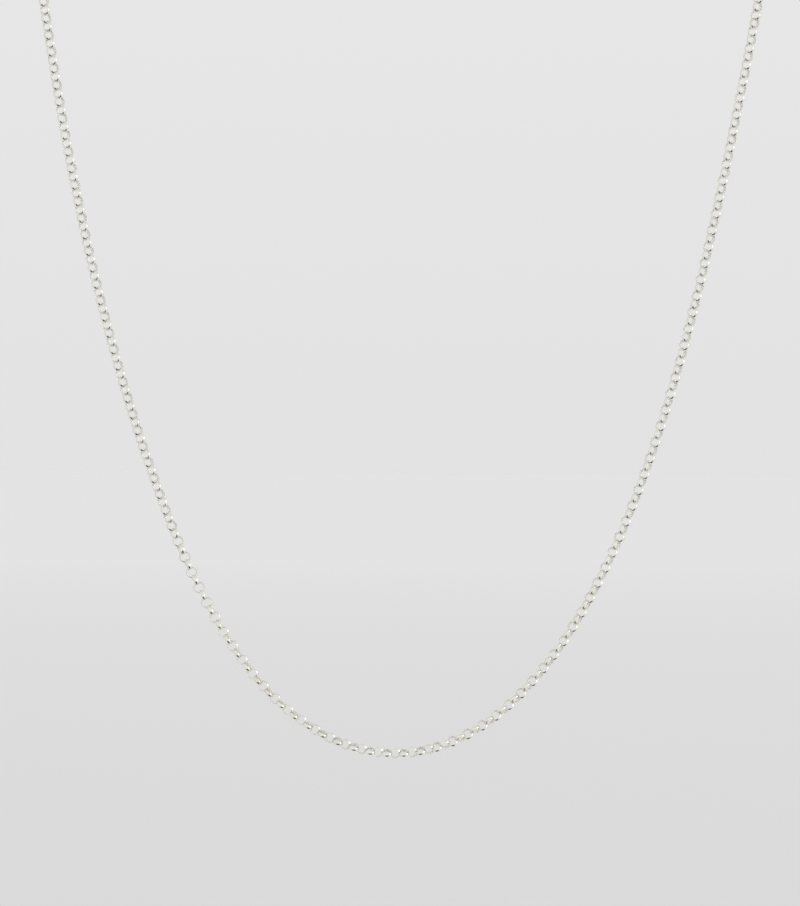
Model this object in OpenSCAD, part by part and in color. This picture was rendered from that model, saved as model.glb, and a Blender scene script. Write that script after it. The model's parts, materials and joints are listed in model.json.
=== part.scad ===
/* [Link] */
// Outer diameter of one round link
link_d = 1.73; // [1.65:0.01:1.8]
// Thickness of the link's wire, from the hole outwards
wire_t = 0.21; // [0.15:0.01:0.23]
// Width of the link's wire, along the axis of the ring
wire_w = 0.48; // [0.3:0.02:0.5]
// Play left between one link and the next when the chain is taut
link_play = 0.11; // [0.1:0.005:0.14]

/* [Front of the chain] */
// Distance between the two strands at the top of the hanging front
front_w = 102.2; // [95:0.2:108]
// Height of the hanging front, from its lowest link to its top
front_h = 110; // [104:0.5:112]
// Largest sideways wander of the strands off a perfect hanging curve
wander = 0.24; // [0:0.02:0.4]

/* [Back of the chain] */
// Radius of the bend where each strand turns backwards over the shoulder
bend_r = 8; // [5:0.5:15]
// Least straight stretch behind each bend, lengthened to a whole number of links
shoulder_run = 5.5; // [0:0.5:30]

/* [Clasp] */
// Outer diameter of the clasp's ring
clasp_d = 5; // [4:0.1:6]
// Outer diameter of the small eye beside the clasp's ring
eye_d = 2.6; // [2.4:0.1:3]
// Wire diameter of the small eye
eye_wire = 0.5; // [0.35:0.05:0.55]
// Length of the thumb nub that stands up from the clasp's ring
nub_len = 0.9; // [0.6:0.1:1.2]
// Diameter of the thumb nub
nub_d = 0.6; // [0.4:0.05:0.7]
// Clear space between the clasp's wire and the link that is hooked in it
hook_clear = 0.12; // [0.1:0.01:0.15]

/* [Hidden] */

// Silver as it looks in soft daylight
silver = [0.86, 0.86, 0.84];

// How the thickness of the half-round wire is shared between its two curved sides:
// the flatter one towards the hole, and the rest towards the outside
inner_bulge = 0.4*wire_t;
outer_bulge = wire_t - inner_bulge;
ring_sides = 48;
arc_sides = 64;

// Roundness of the clasp's parts, and where its nub stands, turned up from the line
// through the ring and away from the eye
clasp_sides = 96;
eye_sides = 64;
wire_sides = 32;
nub_turn = 60;

// Sideways wander of the front. Columns: place along the front as a share of half its
// length, left to right, and shift towards the inside of the loop as a share of wander.
WANDER = [
    [-1.10,  0.00],
    [-0.97, -0.65],
    [-0.80, -1.00],
    [-0.67, -0.55],
    [-0.55,  0.40],
    [-0.43,  1.00],
    [-0.30,  0.50],
    [-0.15, -0.35],
    [ 0.00,  0.25],
    [ 0.15,  0.60],
    [ 0.43,  0.30],
    [ 0.73,  0.70],
    [ 0.85,  0.45],
    [ 0.97, -0.50],
    [ 1.10,  0.00]
];

// How far the links are turned about the line of the chain. Columns: place along the
// front as a share of half its length, and turn of the middle link's kind in degrees.
ROLL = [
    [-1.00,  45],
    [-0.39,  45],
    [-0.33,  78],
    [-0.27,  97],
    [-0.20, 107],
    [-0.10, 110],
    [-0.06, 120],
    [ 0.02, 120],
    [ 0.07, 150],
    [ 0.28, 148],
    [ 0.45, 143],
    [ 0.70, 140],
    [ 0.85, 135],
    [ 1.00, 135]
];

// Sizes of a link that follow from its wire
link_in_r = link_d/2 - wire_t;
pitch = link_d - 2*wire_t - link_play;

// The hanging curve is z = a*(cosh(x/a) - 1). Its size a is found by halving the range
// in which the curve's height at half the width is still too large.
function cosh_(v) = (exp(v) + exp(-v))/2;
function asinh_(v) = ln(v + sqrt(v*v + 1));
function rise(a) = a*(cosh_(front_w/2/a) - 1);
function hang_size(low, high, steps) =
    steps == 0 ? (low + high)/2 :
    rise((low + high)/2) > front_h ? hang_size((low + high)/2, high, steps - 1) :
    hang_size(low, (low + high)/2, steps - 1);
halvings = 40;
hang_a = hang_size(front_w/12, front_w, halvings);
front_half = sqrt(pow(front_h + hang_a, 2) - pow(hang_a, 2));
front_slope = atan(front_half/hang_a);

// The back: each strand bends backwards, runs straight back and goes round half a ring
bend_len = PI/2*bend_r;
back_r = front_w/2 + bend_r*cos(front_slope);
back_len = PI/2*back_r;
bend_rise = bend_r*sin(front_slope);

// The clasp lies along the middle of the back, between the two end links
// that are hooked in it. Its wire is the thickest that leaves room for the next link.
clasp_wire = pitch - wire_t - 2*hook_clear;
clasp_r = (clasp_d - clasp_wire)/2;
eye_r = (eye_d - eye_wire)/2;
eye_x = clasp_r + eye_r;
hook_x = clasp_r - clasp_wire/2 - hook_clear + link_in_r;
eye_hook_x = eye_x + eye_r - eye_wire/2 - hook_clear + link_in_r;
clasp_span = hook_x + eye_hook_x;
clasp_shift = (eye_hook_x - hook_x)/2;

// Links on each side of the lowest one, up to the link that the clasp holds
plain_half = front_half + bend_len + back_len;
side_links = ceil((plain_half + shoulder_run - clasp_span/2)/pitch);
front_links = floor((front_half - link_d/2)/pitch);
run_len = side_links*pitch + clasp_span/2 - plain_half;
front_y = -run_len - bend_r;
bottom_z = -front_h - bend_rise;

// Where each stretch of the right half ends, along the chain from the lowest link
bend_end = front_half + bend_len;
run_end = bend_end + run_len;

// A point of the plain route, s along the chain from the lowest link to the right
function hang_point(s) = [
    hang_a*asinh_(s/hang_a),
    front_y,
    bottom_z + sqrt(s*s + hang_a*hang_a) - hang_a
];
function bend_point(turn) = [
    front_w/2 + bend_r*sin(turn)*cos(front_slope),
    front_y + bend_r*(1 - cos(turn)),
    -bend_rise*(1 - sin(turn))
];
function ring_point(turn) = [back_r*cos(turn), back_r*sin(turn), 0];
function route_point(s) =
    s <= front_half ? hang_point(s) :
    s <= bend_end ? bend_point((s - front_half)/bend_len*90) :
    s <= run_end ? [back_r, s - run_end, 0] :
    ring_point((s - run_end)/back_len*90);

// The direction of the chain there, and the direction across it that starts as up
function bend_dir(turn) = [
    cos(turn)*cos(front_slope),
    sin(turn),
    cos(turn)*sin(front_slope)
];
function route_dir(s) =
    s <= front_half ? [hang_a, 0, s]/norm([hang_a, s]) :
    s <= bend_end ? bend_dir((s - front_half)/bend_len*90) :
    s <= run_end ? [0, 1, 0] :
    [-sin((s - run_end)/back_len*90), cos((s - run_end)/back_len*90), 0];
function route_up(s) =
    s <= front_half ? [-s, 0, hang_a]/norm([hang_a, s]) :
    let (turn = s <= run_end ? 0 : (s - run_end)/back_len*90)
    [-sin(front_slope)*cos(turn), -sin(front_slope)*sin(turn), cos(front_slope)];

// The front's slope and its wander off the plain route, at s to either side
function slope_at(s) = atan(s/hang_a);
function wander_at(s) = wander*lookup(s/front_half, WANDER);
function front_point(s) =
    hang_point(s) + wander_at(s)*[-sin(slope_at(s)), 0, cos(slope_at(s))];

// The tube that stands for the chain's hidden stretch, between the front's last link
// and the end links by the clasp
tube_sides = 8;
tube_step = 2.2*link_d;
tube_gap = 0.3;
end_links = 2;
tube_start = front_links*pitch + link_d/2 + tube_gap;
tube_end = (side_links - end_links + 1)*pitch - link_d/2 - tube_gap;
tube_rings = ceil((tube_end - tube_start)/tube_step);
function tube_ring(s) = [
    for (k = [0:tube_sides - 1])
        let (turn = 360*k/tube_sides)
        route_point(s)
        + wander_at(s)*route_up(s)
        + link_d/2*(cos(turn)*route_up(s) + sin(turn)*cross(route_dir(s), route_up(s)))
];

// The radius of an arc that bulges by the given height over the wire's width
function bulge_r(bulge) = (wire_w*wire_w/4 + bulge*bulge)/(2*bulge);

// One round link of half-round wire, lying flat about its own middle
module link() {
    rotate_extrude($fn = ring_sides)
        intersection() {
            translate([link_in_r + bulge_r(inner_bulge), 0])
                circle(r = bulge_r(inner_bulge), $fn = arc_sides);
            translate([link_d/2 - bulge_r(outer_bulge), 0])
                circle(r = bulge_r(outer_bulge), $fn = arc_sides);
        }
}

// The front: separate links, each a quarter turn from the one before
module chain_front() {
    color(silver)
        for (k = [-front_links:front_links])
            translate(front_point(k*pitch))
                rotate([0, -slope_at(k*pitch), 0])
                    rotate([lookup(k*pitch/front_half, ROLL) + 90*(abs(k) % 2), 0, 0])
                        link();
}

// One half of the hidden stretch, as a tube swept along the right half of the route
module back_tube() {
    rings = [
        for (k = [0:tube_rings])
            tube_ring(tube_start + (tube_end - tube_start)*k/tube_rings)
    ];
    walls = [
        for (k = [0:tube_rings - 1], j = [0:tube_sides - 1])
            let (next = (j + 1) % tube_sides, a = k*tube_sides, b = a + tube_sides)
            [a + j, b + j, b + next, a + next]
    ];
    first_cap = [for (j = [0:tube_sides - 1]) j];
    last_cap = [for (j = [tube_sides - 1:-1:0]) tube_rings*tube_sides + j];
    polyhedron(points = [for (r = rings) each r], faces = concat(walls, [first_cap, last_cap]));
}

// The last links before the clasp. The very last one lies flat in the clasp's wire.
module end_chain() {
    for (k = [0:end_links - 1]) {
        s = (side_links - k)*pitch;
        translate(route_point(s))
            rotate([0, 0, 90 + (s - run_end)/back_len*90])
                rotate([90*(k % 2), 0, 0])
                    link();
    }
}

module chain_back() {
    color(silver) {
        back_tube();
        end_chain();
        mirror([1, 0, 0]) {
            back_tube();
            end_chain();
        }
    }
}

// The clasp: a ring that stands in the plane of the back, an eye and a thumb nub
module clasp() {
    color(silver)
        translate([clasp_shift, back_r, 0])
            rotate([90, 0, 0]) {
                rotate_extrude($fn = clasp_sides)
                    translate([clasp_r, 0])
                        circle(d = clasp_wire, $fn = wire_sides);
                translate([-eye_x, 0, 0])
                    rotate_extrude($fn = eye_sides)
                        translate([eye_r, 0])
                            circle(d = eye_wire, $fn = wire_sides);
                rotate([0, 0, nub_turn])
                    translate([clasp_r, 0, 0])
                        rotate([0, 90, 0])
                            cylinder(h = clasp_wire/2 + nub_len, d = nub_d, $fn = wire_sides);
            }
}

chain_front();
chain_back();
clasp();
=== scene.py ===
# %% [markdown]
# # A fine silver rolo chain, as it hangs round a neck
#
# A rolo chain is one of the plainest chains that a jeweller makes. Every link is the same
# round ring, bent from half-round silver wire and soldered shut. Each one is hooked through
# the next and lies a quarter turn from it, so every second link shows its face and those
# between show their edge. This lesson lays out all the links of an 18 inch necklace, gives
# them a polished silver finish and sets them in a pale studio.
#
# The measured model comes first. It says where the chain hangs, and every place below is
# worked out from it or from the same few sizes.

# %% Load the measured model
import bisect
import json
import math

import bmesh
import bpy
from mathutils import Matrix, Vector


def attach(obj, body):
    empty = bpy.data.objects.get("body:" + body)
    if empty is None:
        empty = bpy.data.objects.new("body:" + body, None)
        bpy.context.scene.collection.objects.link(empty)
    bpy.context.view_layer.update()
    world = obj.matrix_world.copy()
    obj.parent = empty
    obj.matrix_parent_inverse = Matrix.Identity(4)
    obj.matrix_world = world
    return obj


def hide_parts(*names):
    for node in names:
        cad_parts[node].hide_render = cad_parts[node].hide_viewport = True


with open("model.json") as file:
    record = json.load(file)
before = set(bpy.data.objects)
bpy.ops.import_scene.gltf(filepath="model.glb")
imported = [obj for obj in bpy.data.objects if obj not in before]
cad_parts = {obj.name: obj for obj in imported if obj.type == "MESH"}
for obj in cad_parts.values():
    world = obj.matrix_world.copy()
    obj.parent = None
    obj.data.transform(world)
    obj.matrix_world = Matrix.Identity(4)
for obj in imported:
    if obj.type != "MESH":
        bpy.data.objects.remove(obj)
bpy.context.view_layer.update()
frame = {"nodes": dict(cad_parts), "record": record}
MM = 0.001

# %% [markdown]
# ## The sizes of a link
#
# The wire is half-round and more than twice as wide, along the ring's axis, as it is thick.
# Two neighbours pull against each other inside both holes, so the step from one link to the
# next is a link's diameter less two thicknesses of wire and a trace of play. The measured
# model needs more clear space between its links, so its wire is 0.04 mm thinner and 0.08 mm
# narrower than the real one, which is used here.

# %% Sizes of a link, in millimetres
LINK_D = 1.73
WIRE_T = 0.25
WIRE_W = 0.56
LINK_PLAY = 0.03
PITCH = LINK_D - 2*WIRE_T - LINK_PLAY
HOLE_R = LINK_D/2 - WIRE_T
print(f"a link is {LINK_D} mm across, and the next one is {PITCH:.2f} mm on")

# %% [markdown]
# ## The hanging curve
#
# A chain that hangs free from two points takes one curve only, the catenary, whose height is
# a*(cosh(x/a) - 1). Its one size, a, follows from how wide and how high the front hangs. It
# can't be solved for directly, so it is found by halving a range again and again. Measured
# along the chain from its lowest link, the same curve has a simple form, and that is what is
# needed to set links down at equal steps.

# %% The curve of the front
FRONT_W = 102.2
FRONT_H = 110.0
HALVINGS = 40


def hanging_size():
    low, high = FRONT_W/12, FRONT_W
    for _ in range(HALVINGS):
        middle = (low + high)/2
        if middle*(math.cosh(FRONT_W/2/middle) - 1) > FRONT_H:
            low = middle
        else:
            high = middle
    return (low + high)/2


HANG_A = hanging_size()
FRONT_HALF = math.sqrt((FRONT_H + HANG_A)**2 - HANG_A**2)
SLOPE = math.atan(FRONT_HALF/HANG_A)
hang_mount = next(m for m in frame["record"]["mounts"] if m["name"] == "pendant_hang")
FRONT_Y = hang_mount["pos_m"][1]/MM
BOTTOM_Z = hang_mount["pos_m"][2]/MM
print(f"the front's curve has a = {HANG_A:.2f} mm and {2*FRONT_HALF:.0f} mm of chain")

# %% [markdown]
# ## The rest of the loop
#
# Above the front, each strand bends backwards over the shoulder, runs straight back for a
# few millimetres and goes round a quarter of a ring behind the neck, to the clasp. The
# function below gives, for any length of chain from the lowest link, the place of the chain,
# the direction that it runs in, and the direction across it that was upwards at the bottom.
# It knows the right half only, and the left half is its mirror image.

# %% The whole route, from the lowest link to the clasp
BEND_R = 8.0
BEND_LEN = math.pi/2*BEND_R
RUN_LEN = -FRONT_Y - BEND_R
BACK_R = FRONT_W/2 + BEND_R*math.cos(SLOPE)
RING_START = FRONT_HALF + BEND_LEN + RUN_LEN


def route(s):
    if s <= FRONT_HALF:
        x = HANG_A*math.asinh(s/HANG_A)
        place = Vector((x, FRONT_Y, BOTTOM_Z + math.hypot(s, HANG_A) - HANG_A))
        ahead = Vector((HANG_A, 0, s)).normalized()
        return place, ahead, Vector((-ahead.z, 0, ahead.x))
    top = Vector((math.cos(SLOPE), 0, math.sin(SLOPE)))
    up = Vector((-top.z, 0, top.x))
    if s <= FRONT_HALF + BEND_LEN:
        turn = (s - FRONT_HALF)/BEND_R
        start = Vector((FRONT_W/2, FRONT_Y, BOTTOM_Z + FRONT_H))
        back = Vector((0, 1, 0))
        place = start + BEND_R*(math.sin(turn)*top + (1 - math.cos(turn))*back)
        return place, math.cos(turn)*top + math.sin(turn)*back, up
    if s <= RING_START:
        return Vector((BACK_R, s - RING_START, 0)), Vector((0, 1, 0)), up
    turn = (s - RING_START)/BACK_R
    swing = Matrix.Rotation(turn, 3, "Z")
    return swing @ Vector((BACK_R, 0, 0)), swing @ Vector((0, 1, 0)), swing @ up


# %% [markdown]
# ## How the chain lies on its route
#
# A real chain is never quite perfect. Its strands wander up to a quarter of a millimetre off
# the curve, and the whole line of links slowly turns about its own length, so that in one
# place the links show their faces and in another both kinds stand at a slant. Both are short
# lists, with places given as shares of half the front's length. Towards the clasp the chain
# turns until its last link lies flat in the clasp's ring.

# %% Wander and turn along the chain
WANDER_MM = 0.24
WANDER = [
    (-1.10, 0.00), (-0.97, -0.65), (-0.80, -1.00), (-0.67, -0.55), (-0.55, 0.40),
    (-0.43, 1.00), (-0.30, 0.50), (-0.15, -0.35), (0.00, 0.25), (0.15, 0.60),
    (0.43, 0.30), (0.73, 0.70), (0.85, 0.45), (0.97, -0.50), (1.10, 0.00),
]
TURN = [
    (-1.00, 45), (-0.39, 45), (-0.33, 78), (-0.27, 97), (-0.20, 107), (-0.10, 110),
    (-0.06, 120), (0.02, 120), (0.07, 150), (0.28, 148), (0.45, 143), (0.70, 140),
    (0.85, 135), (1.00, 135),
]


def between(table, share):
    """Reads a table of places and values at a place between its rows."""
    if share <= table[0][0]:
        return table[0][1]
    if share >= table[-1][0]:
        return table[-1][1]
    after = bisect.bisect_right([row[0] for row in table], share)
    (x0, y0), (x1, y1) = table[after - 1], table[after]
    return y0 + (y1 - y0)*(share - x0)/(x1 - x0)


# %% [markdown]
# ## How many links
#
# The front holds as many links as fit up to the start of the bends. The clasp is reached
# after 188 links on each side of the lowest one. All the links are numbered from the lowest
# one, 0, with the left side negative, and a link's number alone says where it goes.

# %% The place of each link
FRONT_LINKS = int((FRONT_HALF - LINK_D/2)/PITCH)
SIDE_LINKS = 188


def turn_of(number):
    share = number*PITCH/FRONT_HALF
    hidden = max(0, abs(number) - FRONT_LINKS)/(SIDE_LINKS - FRONT_LINKS)
    slow_turn = between(TURN, share)*(1 - hidden) + math.degrees(SLOPE)*hidden
    return math.radians(slow_turn + 90*(number % 2))


def place_of(number):
    """The matrix that takes a ring lying about the origin to the place of this link."""
    place, ahead, up = route(abs(number)*PITCH)
    side = up.cross(ahead)
    place += WANDER_MM*between(WANDER, number*PITCH/FRONT_HALF)*up
    turn = turn_of(number)
    across = math.cos(turn)*side + math.sin(turn)*up
    axis = math.cos(turn)*up - math.sin(turn)*side
    turned = Matrix((ahead, across, axis)).transposed()
    if number < 0:
        mirror = Matrix.Diagonal((-1, 1, 1))
        place, turned = mirror @ place, mirror @ turned @ mirror
    return Matrix.Translation(place*MM) @ turned.to_4x4()


print(f"{2*SIDE_LINKS + 1} links, {2*FRONT_LINKS + 1} of them in the hanging front")

# %% [markdown]
# ## One link
#
# The ring starts as a torus of round wire with six corners. Three moves in edit mode make
# the wire half-round. It is stretched to its full width along the axis. The corners next to
# the hole are moved out to the two rims, so that the inner side bulges only a little and
# clears the next link. The corners next to the outside are pulled in to a dome.
#
# The link is repeated hundreds of times, so it has few faces and leaves its roundness to
# smooth shading. Only the two rims, where the dome meets the inner side, are marked as sharp.

# %% Model the link
RING_STEPS = 16
WIRE_STEPS = 6
CORNER_TURN = math.radians(360/WIRE_STEPS)
SAME_RADIUS = WIRE_T/16

# Distances from the hole, as shares of the wire's thickness: the round wire's corners, the
# rims and the shoulders of the dome. The shoulders' width is a share of the wire's.
INNER_CORNERS, OUTER_CORNERS = 0.25, 0.75
RIMS = 0.4
SHOULDERS = 0.66
SHOULDER_WIDTH = 0.8


def move_corners(share, new_share, width=1):
    """In edit mode, moves the corners at one distance from the hole to another."""
    radius, new_radius = ((HOLE_R + part*WIRE_T)*MM for part in (share, new_share))
    mesh = bmesh.from_edit_mesh(bpy.context.object.data)
    for vert in mesh.verts:
        vert.select = abs(vert.co.xy.length - radius) < SAME_RADIUS*MM
    mesh.select_flush_mode()
    bmesh.update_edit_mesh(bpy.context.object.data)
    pull = new_radius/radius
    bpy.ops.transform.resize(value=(pull, pull, width), center_override=(0, 0, 0))


bpy.ops.object.select_all(action="DESELECT")
bpy.ops.mesh.primitive_torus_add(
    major_segments=RING_STEPS,
    minor_segments=WIRE_STEPS,
    major_radius=(LINK_D - WIRE_T)/2*MM,
    minor_radius=WIRE_T/2*MM,
)
link = bpy.context.object
link.name = "one_link"
bpy.ops.object.mode_set(mode="EDIT")
bpy.ops.mesh.select_mode(type="VERT")
bpy.ops.mesh.select_all(action="SELECT")
full_width = WIRE_W/WIRE_T/math.sin(CORNER_TURN)
bpy.ops.transform.resize(value=(1, 1, full_width), center_override=(0, 0, 0))
move_corners(INNER_CORNERS, RIMS)
bpy.ops.mesh.mark_sharp()
move_corners(OUTER_CORNERS, SHOULDERS, SHOULDER_WIDTH)
bpy.ops.object.mode_set(mode="OBJECT")
bpy.ops.object.shade_smooth()
sharp_edges = [edge for edge in link.data.edges if edge.use_edge_sharp]
print(len(sharp_edges), "sharp edges on the two rims")
print("one link:", [round(v/MM, 3) for v in link.dimensions], len(link.data.polygons), "faces")

# %% [markdown]
# ## All the links
#
# Each link is a copy of the first with a mesh of its own, and the copies of a stretch are
# joined to one piece. The front is the stretch that hangs in view. The back, over the
# shoulders and round the neck, is a plain tube in the measured model and gets its real
# links here.

# %% Lay the links
def lay_links(name, numbers):
    bpy.ops.object.select_all(action="DESELECT")
    for number in numbers:
        copy = link.copy()
        copy.data = link.data.copy()
        copy.data.transform(place_of(number))
        bpy.context.collection.objects.link(copy)
        copy.select_set(True)
        bpy.context.view_layer.objects.active = copy
    bpy.ops.object.join()
    piece = bpy.context.object
    piece.name = name
    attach(piece, "root")
    print(name, "has", len(numbers), "links and", len(piece.data.polygons), "faces")
    return piece


front_numbers = list(range(-FRONT_LINKS, FRONT_LINKS + 1))
back_numbers = [
    side*number
    for side in (-1, 1)
    for number in range(FRONT_LINKS + 1, SIDE_LINKS + 1)
]
front_links = lay_links("front_links", front_numbers)
back_links = lay_links("back_links", back_numbers)
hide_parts("chain_front")
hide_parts("chain_back")
bpy.data.objects.remove(link)

# %% [markdown]
# ## Tools for materials
#
# Colours are written as the hex codes of a screen colour and turned to the linear values
# that the shader works in. One small function adds a node with its settings and links.

# %% Colour and node helpers
def linear(hex_code):
    channels = [int(hex_code[i:i + 2], 16)/255 for i in (1, 3, 5)]
    return [c/12.92 if c <= 0.04045 else ((c + 0.055)/1.055)**2.4 for c in channels] + [1]


def add(tree, kind, settings=None, **inputs):
    """Adds a node. An input is named, or numbered as i0, i1 and so on. It is given a value,
    or another node's output to link from."""
    node = tree.nodes.new("ShaderNode" + kind)
    for name, value in (settings or {}).items():
        setattr(node, name, value)
    for name, value in inputs.items():
        key = int(name[1:]) if name[1:].isdigit() else name.replace("_", " ")
        socket = node.inputs[key]
        if isinstance(value, bpy.types.NodeSocket):
            tree.links.new(value, socket)
        else:
            socket.default_value = value
    return node


def per_metre(size_mm):
    """The scale that gives a texture on Object coordinates a grain of this size."""
    return 1/(size_mm*MM)


# %% [markdown]
# ## Polished sterling silver
#
# Sterling is 92.5% silver with copper. The chain was tumbled with steel shot until it was
# bright, so it mirrors the room, but softly, for the shot leaves a satin of tiny dents. Three
# things keep it from looking like chrome: the colour is a warm white, a thin yellowish film
# has begun in patches about as long as two links, and the dents make the mirror faintly
# uneven. They are really finer than a pixel, so they are drawn at a third of a millimetre,
# where they just show. The cast clasp was polished by hand and is a little smoother.

# %% Material of the links and the clasp
SILVER_TONE = "#F0EFE7"
FILM_TONE = "#DEDBCC"
FILM_MM, FILM_DETAIL = 2.6, 3.0
FILM_STARTS, FILM_FULL, FILM_MOST = 0.42, 0.68, 0.55
HAZE_MM, HAZE_DETAIL = 0.7, 4.0
HAZE_LEAST, HAZE_FULL = 0.3, 0.7
UNEVEN_MM, UNEVEN_DETAIL = 0.34, 2.0


def polished_silver(name, rough_low, rough_high, uneven_depth_mm):
    material = bpy.data.materials.new(name)
    material.use_nodes = True
    tree = material.node_tree
    shader = tree.nodes["Principled BSDF"]
    place = add(tree, "TexCoord").outputs["Object"]
    film = add(tree, "TexNoise", Vector=place, Scale=per_metre(FILM_MM), Detail=FILM_DETAIL)
    patches = add(
        tree, "MapRange",
        i0=film.outputs["Fac"], i1=FILM_STARTS, i2=FILM_FULL, i3=0.0, i4=FILM_MOST,
    )
    tone = add(
        tree, "Mix", {"data_type": "RGBA"},
        i0=patches.outputs[0], i6=linear(SILVER_TONE), i7=linear(FILM_TONE),
    )
    haze = add(tree, "TexNoise", Vector=place, Scale=per_metre(HAZE_MM), Detail=HAZE_DETAIL)
    rough = add(
        tree, "MapRange",
        i0=haze.outputs["Fac"], i1=HAZE_LEAST, i2=HAZE_FULL, i3=rough_low, i4=rough_high,
    )
    uneven = add(
        tree, "TexNoise",
        Vector=place, Scale=per_metre(UNEVEN_MM), Detail=UNEVEN_DETAIL,
    )
    bump = add(
        tree, "Bump",
        Height=uneven.outputs["Fac"], Strength=1.0, Distance=uneven_depth_mm*MM,
    )
    tree.links.new(tone.outputs[2], shader.inputs["Base Color"])
    tree.links.new(rough.outputs[0], shader.inputs["Roughness"])
    tree.links.new(bump.outputs[0], shader.inputs["Normal"])
    shader.inputs["Metallic"].default_value = 1.0
    return material


link_silver = polished_silver("tumbled sterling silver", 0.11, 0.20, 0.0035)
clasp_silver = polished_silver("polished cast silver", 0.07, 0.14, 0.003)
print("materials:", link_silver.name, "and", clasp_silver.name)

# %% [markdown]
# The shot doesn't reach into a link, so the side towards the hole keeps the white satin skin
# that the acid bath after soldering gave it. Its near-white tone is also painted light: it is
# set lighter than the polished silver so that the inside of each link stays pale in the shade
# and the dark reflection inside the hole. The torus brought a map with it, whose second number
# runs once round the wire: it is a half at the crown of that side, and a third away from that
# at both rims.

# %% Leave the inside of the links unpolished, and give out the materials
INSIDE_ROUGH = 0.80
# The inside's near-white tone is partly the real satin skin and partly painted light, lifting
# the inside of the links out of their shade
INSIDE_SKIN_AND_PAINTED_LIGHT = "#FDFCF8"
AT_CROWN = 0.5
AT_RIM = 1/3
RIM_BLUR = 0.01

tree = link_silver.node_tree
shader = tree.nodes["Principled BSDF"]
polished_tone = shader.inputs["Base Color"].links[0].from_socket
polished_rough = shader.inputs["Roughness"].links[0].from_socket
torus_map = add(tree, "TexCoord").outputs["UV"]
round_wire = add(tree, "SeparateXYZ", Vector=torus_map).outputs["Y"]
off_crown = add(tree, "Math", {"operation": "SUBTRACT"}, i0=round_wire, i1=AT_CROWN)
off_crown = add(tree, "Math", {"operation": "ABSOLUTE"}, i0=off_crown.outputs[0])
inside = add(
    tree, "MapRange",
    i0=off_crown.outputs[0], i1=AT_RIM - RIM_BLUR, i2=AT_RIM + RIM_BLUR,
).outputs[0]
# Painted light: the hole side of each link gets the near-white tone, lighter than its shade
# would leave it
tone = add(
    tree, "Mix", {"data_type": "RGBA"},
    i0=inside, i6=polished_tone, i7=linear(INSIDE_SKIN_AND_PAINTED_LIGHT),
)
rough = add(tree, "Mix", i0=inside, i2=polished_rough, i3=INSIDE_ROUGH)
tree.links.new(tone.outputs[2], shader.inputs["Base Color"])
tree.links.new(rough.outputs[0], shader.inputs["Roughness"])

for piece in (front_links, back_links):
    piece.data.materials.clear()
    piece.data.materials.append(link_silver)
clasp = frame["nodes"]["clasp"]
for slot in clasp.material_slots:
    slot.material = clasp_silver
print("the links are", link_silver.name, "and the clasp is", clasp_silver.name)

# %% [markdown]
# ## The studio
#
# Silver shows its surroundings more than itself. In a pale room it nearly disappears, and
# what draws it is the one dark patch that it mirrors, low down and in front, where no light
# was set. That patch makes the short dark slits along the lower edges of the links. So the
# world here is pale all round, and palest at the back, like a lit wall, with two soft glows
# from the right and from the front left, and a soft dark patch below. Only the small part
# right behind the chain, which the camera sees, is a quieter grey that pales upwards. The
# floor is left out of the silver's reflections, so that the patch is what they show.

# %% The world
AROUND = 0.73
WALL, WALL_FULL = 0.87, 0.75
BEHIND = Vector((0, 1, 0))
BEHIND_LOW, BEHIND_HIGH, BEHIND_RISE = 0.765, 0.80, 0.08
GLOW_RIGHT = Vector((0.94, -0.33, 0.05)).normalized()
GLOW_LEFT = Vector((-0.42, -0.90, 0.08)).normalized()
GLOW = 0.18
DARK_TONE = "#0A0A09"
DARK_TOWARDS = Vector((0.04, -0.40, -0.91)).normalized()

# The cosines at which each soft spot begins and is full
GLOW_EDGES = (0.30, 0.98)
BEHIND_EDGES = (0.90, 0.99)
DARK_EDGES = (0.79, 0.97)

world = bpy.data.worlds.new("pale studio")
bpy.context.scene.world = world
world.use_nodes = True
tree = world.node_tree
towards = add(tree, "TexCoord").outputs["Generated"]
parts = add(tree, "SeparateXYZ", Vector=towards).outputs
pale = add(
    tree, "MapRange", {"interpolation_type": "SMOOTHSTEP"},
    i0=parts["Y"], i1=0.0, i2=WALL_FULL, i3=AROUND, i4=WALL,
).outputs[0]


def soft_spot(direction, edges, strength=1.0):
    """A soft round spot on the world, in one direction."""
    nearness = add(
        tree, "VectorMath", {"operation": "DOT_PRODUCT"}, i0=towards, i1=direction,
    ).outputs["Value"]
    return add(
        tree, "MapRange", {"interpolation_type": "SMOOTHSTEP"},
        i0=nearness, i1=edges[0], i2=edges[1], i3=0.0, i4=strength,
    ).outputs[0]


for glow_towards in (GLOW_RIGHT, GLOW_LEFT):
    glow = soft_spot(glow_towards, GLOW_EDGES, GLOW)
    pale = add(tree, "Math", {"operation": "ADD"}, i0=pale, i1=glow).outputs[0]
behind = add(
    tree, "MapRange", i0=parts["Z"], i1=0.0, i2=BEHIND_RISE, i3=BEHIND_LOW, i4=BEHIND_HIGH,
).outputs[0]
seen = soft_spot(BEHIND, BEHIND_EDGES)
pale = add(tree, "Mix", i0=seen, i2=pale, i3=behind).outputs[0]
pale = add(tree, "CombineColor", Red=pale, Green=pale, Blue=pale).outputs[0]
patch = soft_spot(DARK_TOWARDS, DARK_EDGES)
mixed = add(tree, "Mix", {"data_type": "RGBA"}, i0=patch, i6=pale, i7=linear(DARK_TONE))
tree.links.new(mixed.outputs[2], tree.nodes["Background"].inputs["Color"])
print("world:", world.name)

# %% [markdown]
# ## The floor
#
# The chain hangs a little above a wide pale floor. Seen from the front, the floor runs back
# to the horizon, so its far part is given the tone of the world there, and the line between
# them can't be seen.

# %% The floor
FLOOR_DROP = 25.0
FLOOR_SIZE_M = 40.0
FLOOR_NEAR = "#ECECEC"
FLOOR_FAR = "#F8F8F8"
FLOOR_FAR_M = 3.0

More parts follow.
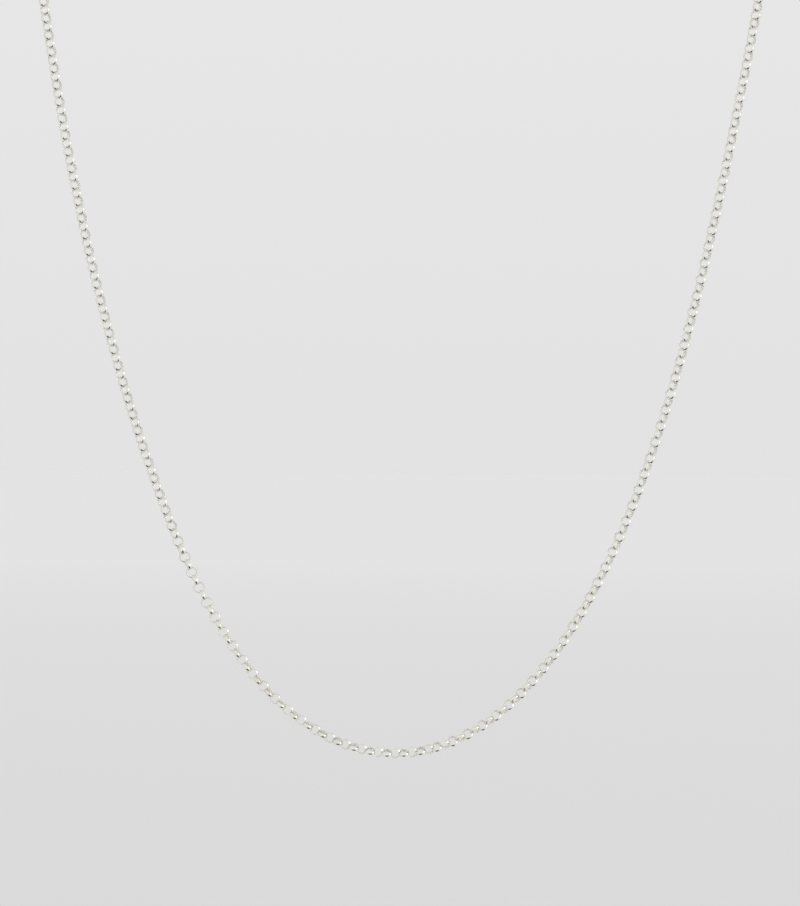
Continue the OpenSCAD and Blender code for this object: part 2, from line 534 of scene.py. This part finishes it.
bpy.ops.object.select_all(action="DESELECT")
bpy.ops.mesh.primitive_plane_add(
    size=FLOOR_SIZE_M,
    location=(0, 0, (BOTTOM_Z - LINK_D/2 - FLOOR_DROP)*MM),
)
floor = bpy.context.object
floor.name = "floor"
bpy.ops.object.transform_apply(location=True)
floor.visible_glossy = False
floor_paint = bpy.data.materials.new("matt pale grey paint")
floor_paint.use_nodes = True
tree = floor_paint.node_tree
shader = tree.nodes["Principled BSDF"]
place = add(tree, "TexCoord").outputs["Object"]
depth = add(tree, "SeparateXYZ", Vector=place).outputs["Y"]
far = add(tree, "MapRange", i0=depth, i1=0.0, i2=FLOOR_FAR_M).outputs[0]
tone = add(
    tree, "Mix", {"data_type": "RGBA"},
    i0=far, i6=linear(FLOOR_NEAR), i7=linear(FLOOR_FAR),
)
tree.links.new(tone.outputs[2], shader.inputs["Base Color"])
shader.inputs["Roughness"].default_value = 1.0
shader.inputs["Specular IOR Level"].default_value = 0.0
floor.data.materials.append(floor_paint)
print("floor:", floor_paint.name)

# %% [markdown]
# ## The key light
#
# One large soft light stands on the right, at the height of the chain and a little in front
# of it. It is what the white glints on the right-hand side of each link mirror.

# %% The key light
KEY_PLACE = Vector((1.80, -0.84, 0.22))
KEY_SIZE_M = 0.90
KEY_WATTS = 4.8

loop_middle = Vector((0, FRONT_Y*MM, (BOTTOM_Z + FRONT_H/2)*MM))
bpy.ops.object.select_all(action="DESELECT")
bpy.ops.object.light_add(type="AREA", location=KEY_PLACE)
key = bpy.context.object
key.name = "key_light"
key.data.size = KEY_SIZE_M
key.data.energy = KEY_WATTS
key.rotation_euler = (loop_middle - KEY_PLACE).to_track_quat("-Z", "Y").to_euler()
print(f"key light: {KEY_WATTS} W, {(loop_middle - KEY_PLACE).length:.1f} m from the chain")

# %% [markdown]
# ## The camera
#
# The picture is taken straight from the front with a long lens, so the loop isn't drawn out
# by perspective. Its scale follows from the hanging curve: in the picture the curve's size,
# a, is 140.5 pixels. The picture leans by 0.4 degrees, and its middle lies 300 pixels above
# the lowest link.

# %% The camera
PICTURE_W, PICTURE_H = 800, 906
CURVE_PX = 140.5
LOWEST_PX = (395.3, 753.5)
LEAN = math.radians(0.41)
LENS_MM = 250.0
SENSOR_MM = 36.0
CLIP_NEAR_M, CLIP_FAR_M = 0.01, 200.0

mm_per_px = HANG_A/CURVE_PX
right_px = PICTURE_W/2 - LOWEST_PX[0]
up_px = LOWEST_PX[1] - PICTURE_H/2
middle_x = (right_px*math.cos(LEAN) - up_px*math.sin(LEAN))*mm_per_px
middle_z = (up_px*math.cos(LEAN) + right_px*math.sin(LEAN))*mm_per_px
distance = PICTURE_H*mm_per_px*LENS_MM/SENSOR_MM

bpy.ops.object.select_all(action="DESELECT")
bpy.ops.object.camera_add(
    location=(middle_x*MM, (FRONT_Y - distance)*MM, (BOTTOM_Z + middle_z)*MM),
    rotation=(math.pi/2, -LEAN, 0),
)
camera = bpy.context.object
camera.name = "camera"
camera.data.lens = LENS_MM
camera.data.sensor_width = SENSOR_MM
camera.data.clip_start = CLIP_NEAR_M
camera.data.clip_end = CLIP_FAR_M
bpy.context.scene.camera = camera
bpy.context.scene.view_settings.view_transform = "Standard"
print(f"camera at {distance:.0f} mm, {mm_per_px:.4f} mm to a pixel")
